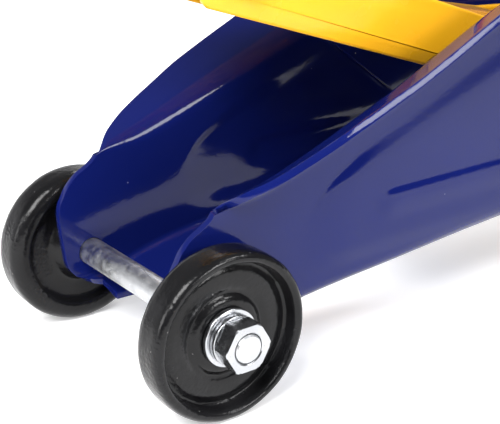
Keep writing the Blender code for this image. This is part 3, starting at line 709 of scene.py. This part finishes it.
for side, hand in sides:
    bolt = middle("block_bolt_" + hand)
    top = [(0, 29), (5, 29), (5, 46.3), (10.5, 46.3), (10.9, 47.2), (10.9, 52.4), (9, 54), (0, 54)]
    turnedPiece("block_bolt_" + hand, top, "Y", (bolt.x, 0, bolt.z), 0.4, 96, flats=17.4, side=side)
    king = middle("kingpin_" + hand)
    turnedPiece("kingpin_" + hand, [(0, 13.4), (6.5, 13.4), (7.5, 14.4), (7.5, 17.2), (5, 17.2), (5, 24.3),
                                    (9, 24.3), (9, 26.4), (6, 29), (0, 29)], "Z", (king.x, king.y, 0))
    wheelSpot = middle("caster_wheel_" + hand)
    turnedPiece("caster_wheel_" + hand,
                [(4.3, -9.8), (8.6, -9.8), (9.4, -5.4), (15.6, -4.6), (17, -8), (20.6, -8), (23, -5.6),
                 (23, 5.6), (20.6, 8), (17, 8), (15.6, 4.6), (9.4, 5.4), (8.6, 9.8), (4.3, 9.8)], "Y",
                wheelSpot, 1.0, 80, sharp=50)
    cap = [(0, 16), (5.6, 16), (6.5, 14.8), (6.5, 13.3), (4, 13.3)]
    turnedPiece("caster_axle_" + hand, [(r, -y) for r, y in cap] + cap[::-1], "Y", wheelSpot, 0.4)

tube, ramSpot = middle("reservoir_tube"), middle("ram")
ends = [(corner - axle).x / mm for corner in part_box("reservoir_tube")]
turnedPiece("reservoir_tube", [(26.5, ends[0]), (29.5, ends[0]), (29.5, ends[1]), (26.5, ends[1])], "X",
            (0, 0, tube.z), 0.6, 96)
turnedPiece("ram_cylinder", [(10.3, 297), (24, 297), (28, 299), (28, 303), (20, 303), (20, ends[1]),
                             (10.3, ends[1])], "X", (0, 0, tube.z), 0.7, 80)
turnedPiece("ram", [(0, 277), (12, 277), (13, 278), (13, 284), (10, 284), (10, 338), (0, 338)], "X",
            (0, 0, ramSpot.z), 0.5)
plug = middle("filler_plug")
turnedPiece("filler_plug", [(0, -2.55), (4, -2.55), (6.5, -1), (6.5, 1), (5, 2.55), (0, 2.55)], "Z", plug,
            0.5)
valve = middle("release_valve")
turnedPiece("release_valve", [(0, 386), (5, 386), (5, 396.3), (7, 396.3), (8, 397.3), (8, 407), (7, 408),
                              (3, 408), (2.4, 404.5), (0, 404.5)], "X", (0, valve.y, valve.z), 0.4)
plunger = middle("pump_plunger")
low, high = [(corner - axle).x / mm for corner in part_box("pump_plunger")]
turnedPiece("pump_plunger", [(0, low), (5, low), (6, low + 1), (6, high - 4), (8.4, high - 4),
                             (8.4, high - 1), (7.2, high), (0, high)], "X", (0, 0, plunger.z), 0.4)
print("turned pieces made")


# Saddle and its pad.

saddleSpot = middle("saddle")
bowl = [(0, 8), (7, 8), (8, 9), (8, 18.3), (13, 18.3), (15, 24), (29, 24), (31, 26), (31, 35), (30, 36),
        (28, 36), (27.2, 29), (0, 29)]
saddlePin = middle("saddle_pin").z
saddleMesh = lathe(rounded([(r, saddlePin + z) for r, z in bowl], 0.9), 96, "Z", (saddleSpot.x, 0, 0))
saddlePiece = shaped("saddle", saddleMesh, sharp=45)
cutter = bmesh.new()
for k in range(4):
    turn = Matrix.Rotation(k * math.pi / 2, 4, "Z")
    spot = Matrix.Translation(at(saddleSpot.x, 0, saddlePin + 37.4))
    block = Matrix.Diagonal((16 * mm, 10 * mm, 16.4 * mm, 1))
    bmesh.ops.create_cube(cutter, size=1, matrix=spot @ turn @ Matrix.Translation((30 * mm, 0, 0)) @ block)
guide = newObject("saddle_notches", cutter, None)
cut = saddlePiece.modifiers.new("notches", "BOOLEAN")
cut.object, cut.solver = guide, "EXACT"
worn = saddlePiece.modifiers.new("edges", "BEVEL")
worn.width, worn.segments, worn.limit_method, worn.angle_limit = 0.7 * mm, 2, "ANGLE", math.radians(50)
baked(saddlePiece)
saddlePiece.data.shade_smooth()
saddlePiece.data.set_sharp_from_angle(angle=math.radians(45))
bpy.data.objects.remove(guide)

pad = {"radius": 26.6, "low": 29.3, "top": 37.0, "ribs": 9, "ribWidth": 2.6, "ribHeight": 1.0, "ribStep": 5.4}
padTop = pad["top"] - pad["ribHeight"]
disc = [(0, pad["low"]), (25.5, pad["low"]), (pad["radius"], 30.6), (pad["radius"], padTop - 1),
        (25.6, padTop), (0, padTop)]
discProfile = rounded([(r, saddlePin + z) for r, z in disc], 0.8)
shaped("saddle_pad", lathe(discProfile, 80, "Z", (saddleSpot.x, 0, 0)))
for k in range(pad["ribs"]):
    offset = (k - (pad["ribs"] - 1) / 2) * pad["ribStep"]
    reachAcross = math.sqrt(max(0, (pad["radius"] - 2.4) ** 2 - offset ** 2))
    rib = bmesh.new()
    bmesh.ops.create_cube(rib, size=1, matrix=Matrix.Diagonal((pad["ribWidth"], 2 * reachAcross, 1.6, 1)))
    bmesh.ops.bevel(rib, geom=rib.edges[:], offset=0.45, segments=2, affect="EDGES")
    bmesh.ops.translate(rib, vec=(saddleSpot.x + offset, 0, saddlePin + pad["top"] - 0.8), verts=rib.verts)
    shaped("saddle_pad", rib, name="pad_rib_%d" % (k + 1), replaced=False)
print("saddle made")


# Pump handle: tubes, grip and screw.

gripMiddle = middle("handle_grip")
handleLean = math.atan2(gripMiddle.z - handle.z, gripMiddle.x - handle.x)
handleTurn = Matrix.Rotation(-handleLean, 3, "Y")
handleBar = {"end": 524.0, "gripStart": 402.0, "gripRadius": 15.0, "lower": (11, 13, 35, 300),
             "upper": (9, 10.7, 240, 519.7), "gripRibs": 21, "ribStep": 4.4}


def onHandle(bm):
    # from the handle's own measures, x along it from its shaft, to the frame's
    bmesh.ops.rotate(bm, matrix=handleTurn, verts=bm.verts)
    bmesh.ops.translate(bm, vec=(handle.x, 0, handle.z), verts=bm.verts)
    return bm


for node, key in (("handle_lower_tube", "lower"), ("handle_upper_tube", "upper")):
    bore, outer, start, stop = handleBar[key]
    tubeProfile = rounded([(bore, start), (outer, start), (outer, stop), (bore, stop)], 0.6)
    shaped(node, onHandle(lathe(tubeProfile, 64, "X")))
stop, waist = handleBar["end"], handleBar["gripRadius"] - 1.2
cap, start = stop - 4, handleBar["gripStart"]
sleeve = [(0, stop), (10, stop), (waist + 0.9, stop - 2.5), (waist + 0.9, stop - 9), (waist, stop - 10),
          (waist, start + 12), (waist + 1.2, start + 8), (waist + 1.2, start + 2), (13.5, start), (11, start),
          (11, cap), (0, cap)]
shaped("handle_grip", onHandle(lathe(rounded(sleeve, 1.0), 72, "X")))
along = handleTurn @ Vector((1, 0, 0))
ribShape = lathe([(13.2, -1.3), (14.5, -0.9), (15, 0), (14.5, 0.9), (13.2, 1.3)], 56, "X")
bmesh.ops.rotate(ribShape, matrix=handleTurn, verts=ribShape.verts)
bmesh.ops.scale(ribShape, vec=(mm, mm, mm), verts=ribShape.verts)
bmesh.ops.recalc_face_normals(ribShape, faces=ribShape.faces)
firstRib = at(handle.x, 0, handle.z) + along * (start + 18) * mm
gripRibs = repeated("grip_ribs", ribShape, handleBar["gripRibs"], firstRib,
                    along * handleBar["ribStep"] * mm, (0, 0, 0), "handle_grip")
attach(gripRibs, "handle_grip", replaced=False)
screw = [(0, 13.6), (2.9, 13.6), (2.9, 17.6), (7, 17.6), (7.5, 18.4), (7.5, 22.4), (6, 24), (0, 24)]
shaped("clamp_screw", onHandle(lathe(rounded(screw, 0.4), 96, "Z", (88, 0, 0), flats=11.4)))
rollerSpot = middle("pump_roller")
turnedPiece("pump_roller", [(0, -9.1), (7, -9.1), (7, 9.1), (0, 9.1)], "Y", (rollerSpot.x, 0, rollerSpot.z))
print("handle made")


# Springs.

def spring(name, node, start, end, radius, wire, turns, rides):
    start, end = Vector(start), Vector(end)
    length = (end - start).length
    turn = (end - start).to_track_quat("Z", "Y").to_matrix().to_4x4()
    place = Matrix.Translation(at(*start)) @ turn
    values = {"Turns": turns, "Radius": (radius - wire) * mm, "Length": length * mm, "Wire": wire * mm,
              "Finish": materials[slotOf[node]]}
    return attach(grown(name, coilTree, values, place), node, sharp=60, rides=rides)


coils = {"returnRadius": 3.8, "returnTurns": 26.0, "returnSide": 38, "pumpRadius": 8.4, "pumpTurns": 6.0,
         "wire": 0.9}
for side, hand in sides:
    node = "return_spring_" + hand
    low, high = [(corner - axle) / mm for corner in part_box(node)]
    start = (low.x + 1.7, side * coils["returnSide"], low.z + 3.5)
    stop = (high.x - 1.7, side * coils["returnSide"], high.z - 3.5)
    coil = spring(node + "_coil", node, start, stop, coils["returnRadius"], coils["wire"],
                  coils["returnTurns"], rides=False)
    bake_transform(coil)
low, high = [(corner - axle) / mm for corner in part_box("pump_spring")]
start, stop = (low.x + 1, 0, plunger.z), (high.x - 1.2, 0, plunger.z)
coil = spring("pump_spring_coil", "pump_spring", start, stop, coils["pumpRadius"], coils["wire"],
              coils["pumpTurns"], rides=False)
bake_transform(coil)
print("springs made")


# Floor, lights and camera.

studio = {"floor": (0.9, 0.9, 0.9), "floorGlow": 0.34, "floorReach": 8.0, "sky": (1.0, 1.0, 1.02),
          "skyLow": 0.02, "skyHigh": 0.34, "backdrop": 0.9,
          "softboxes": (((-0.95, -0.55, 1.3), (0.9, 0.9), 42.0), ((0.46, -1.32, 0.58), (0.56, 0.4), 10.0),
                        ((0.9, -0.85, 1.15), (0.4, 0.3), 7.0),
                        ((-1.5, 0.1, 0.5), (0.5, 0.7), 8.0), ((0.9, 0.9, 1.1), (0.6, 0.6), 8.0))}
camera = {"azimuth": -36.58, "elevation": 21.18, "target": (55.51, 0, 19.1), "distance": 542.0, "lens": 89.2}

floorMesh = bmesh.new()
reach = studio["floorReach"]
bmesh.ops.create_grid(floorMesh, x_segments=1, y_segments=1, size=reach)
floorPaint = bpy.data.materials.new("floor_paint")
floorPaint.use_nodes = True
floorShader = floorPaint.node_tree.nodes["Principled BSDF"]
floorShader.inputs["Base Color"].default_value = (*studio["floor"], 1)
floorShader.inputs["Roughness"].default_value = 0.9
floorShader.inputs["Emission Color"].default_value = (1, 1, 1, 1)
floorShader.inputs["Emission Strength"].default_value = studio["floorGlow"]
floor = newObject("studio_floor", floorMesh, floorPaint)

world = bpy.data.worlds.new("studio")
world.use_nodes = True
sky = world.node_tree
back = sky.nodes["Background"]
spot = sky.nodes.new("ShaderNodeTexCoord").outputs["Generated"]
split = sky.nodes.new("ShaderNodeSeparateXYZ")
sky.links.new(spot, split.inputs["Vector"])
level = sky.nodes.new("ShaderNodeMapRange")
level.inputs["From Min"].default_value = 0.0
level.inputs["From Max"].default_value = 0.8
level.inputs["To Min"].default_value = studio["skyLow"]
level.inputs["To Max"].default_value = studio["skyHigh"]
sky.links.new(split.outputs["Z"], level.inputs["Value"])
behind = rangeNode(sky, split.outputs["Y"], 0.1, 0.5, 0.0, studio["backdrop"])
low = rangeNode(sky, split.outputs["Z"], 0.3, 0.5, 1.0, 0.0)
glow = mathNode(sky, "ADD", level.outputs[0], mathNode(sky, "MULTIPLY", behind, low))
sky.links.new(glow, back.inputs["Strength"])
back.inputs["Color"].default_value = (*studio["sky"], 1)
bpy.context.scene.world = world

for k, (where, size, power) in enumerate(studio["softboxes"]):
    lamp = bpy.data.lights.new("softbox_%d" % k, "AREA")
    lamp.shape = "RECTANGLE"
    lamp.size, lamp.size_y = size
    lamp.energy = power
    holder = bpy.data.objects.new("softbox_%d" % k, lamp)
    bpy.context.collection.objects.link(holder)
    holder.location = Vector(where) + axle
    holder.rotation_euler = (axle - holder.location).to_track_quat("-Z", "Y").to_euler()

azimuth, elevation = math.radians(camera["azimuth"]), math.radians(camera["elevation"])
away = Vector((math.sin(azimuth) * math.cos(elevation), -math.cos(azimuth) * math.cos(elevation),
               math.sin(elevation)))
lens = bpy.data.cameras.new("camera")
lens.lens = camera["lens"]
lens.sensor_width = 36.0
lens.clip_start = 0.01
viewer = bpy.data.objects.new("camera", lens)
bpy.context.collection.objects.link(viewer)
viewer.location = at(*camera["target"]) + away * camera["distance"] * mm
viewer.rotation_euler = (-away).to_track_quat("-Z", "Y").to_euler()
bpy.context.scene.camera = viewer
bpy.context.scene.view_settings.view_transform = "Standard"

print("studio ready")
